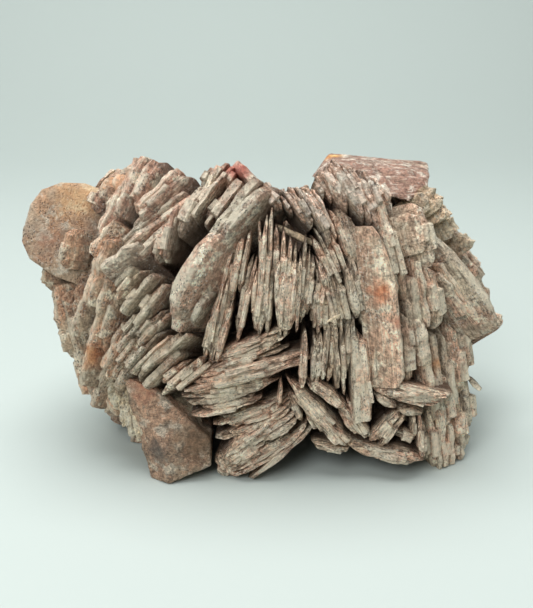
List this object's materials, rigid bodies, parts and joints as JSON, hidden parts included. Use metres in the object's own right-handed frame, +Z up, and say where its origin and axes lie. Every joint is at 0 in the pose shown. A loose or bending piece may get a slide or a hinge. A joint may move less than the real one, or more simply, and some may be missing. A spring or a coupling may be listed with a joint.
{
  "type": "barite cluster",
  "caption": "Natural crystal cluster of thin leaning barite blades on a rounded mass, with flat cleavage faces and a low arch under the front; rests on a flat underside as a display specimen",
  "frame": {"origin": "on the flat underside, below the middle of the cluster", "axes": "+Z up from the surface it rests on, -Y out of the front with the crossing blades, +X to the viewer's right along the longest extent"},
  "size_m": [0.1671, 0.1029, 0.1105],
  "materials": {
    "barite": "dull, granular, dusty pink to beige grey with pale rims"
  },
  "bodies": {
    "root": {"barite_cluster": "barite"}
  },
  "joints": []
}
